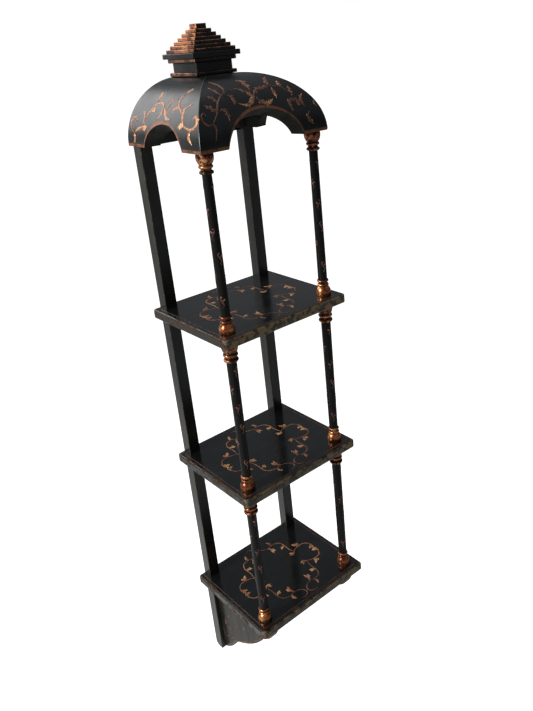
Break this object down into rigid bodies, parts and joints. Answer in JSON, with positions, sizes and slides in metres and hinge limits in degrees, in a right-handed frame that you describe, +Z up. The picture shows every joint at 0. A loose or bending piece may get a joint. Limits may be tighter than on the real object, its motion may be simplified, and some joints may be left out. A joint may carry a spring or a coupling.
{
  "type": "wall display shelf",
  "caption": "Narrow wall-hung display shelf of black lacquered wood: open tiers on square rear posts and turned front columns under a coved, arched canopy with a stepped finial.",
  "frame": {"origin": "on the wall plane, midway between the two keyhole entries in the backs of the rear posts", "axes": "+X to the right as seen from the front, +Y into the wall, +Z up"},
  "size_m": [0.254, 0.215, 1.2233],
  "materials": {
    "shelf_lacquer": "gloss black lacquer with a painted copper vine, worn brown at the edges",
    "post_lacquer": "satin black lacquer",
    "column_lacquer": "black lacquer flecked with copper, turnings rubbed with copper",
    "canopy_lacquer": "satin black lacquer with a painted copper vine and border",
    "bracket_lacquer": "satin black lacquer with a faint copper vine",
    "finial_lacquer": "black lacquer rubbed brown at the edges",
    "finial_copper": "copper paint rubbed over black",
    "inner_wood": "stained black, unpolished",
    "screw_steel": "plain steel",
    "hanger_steel": "plain steel"
  },
  "bodies": {
    "root": {"bracket_cleat_left": "inner_wood", "bracket_cleat_right": "inner_wood", "bracket_cleat_screws": "screw_steel", "bracket_left": "bracket_lacquer", "bracket_right": "bracket_lacquer", "bracket_screws": "screw_steel", "canopy_back_panel": "canopy_lacquer", "canopy_cleat_left": "inner_wood", "canopy_cleat_right": "inner_wood", "canopy_corner_block_left": "inner_wood", "canopy_corner_block_right": "inner_wood", "canopy_panel_front": "canopy_lacquer", "canopy_panel_left": "canopy_lacquer", "canopy_panel_right": "canopy_lacquer", "canopy_screws": "screw_steel", "canopy_studs": "screw_steel", "canopy_top_board": "canopy_lacquer", "column_foot_screws": "screw_steel", "column_lower_left": "column_lacquer", "column_lower_right": "column_lacquer", "column_middle_left": "column_lacquer", "column_middle_right": "column_lacquer", "column_upper_left": "column_lacquer", "column_upper_right": "column_lacquer", "finial_base_moulding": "finial_copper", "finial_bed_moulding": "finial_copper", "finial_cap": "finial_copper", "finial_cornice_slab": "finial_lacquer", "finial_neck": "finial_lacquer", "finial_nut": "screw_steel", "finial_rod": "screw_steel", "finial_step_1": "finial_copper", "finial_step_2": "finial_copper", "finial_step_3": "finial_copper", "finial_step_4": "finial_copper", "finial_step_5": "finial_copper", "finial_step_6": "finial_copper", "finial_washer": "screw_steel", "hanger_plate_left": "hanger_steel", "hanger_plate_right": "hanger_steel", "hanger_screws": "screw_steel", "post_studs": "screw_steel", "rear_post_left": "post_lacquer", "rear_post_right": "post_lacquer", "shelf_bottom": "shelf_lacquer", "shelf_middle": "shelf_lacquer", "shelf_screws": "screw_steel", "shelf_studs": "screw_steel", "shelf_top": "shelf_lacquer"}
  },
  "joints": []
}
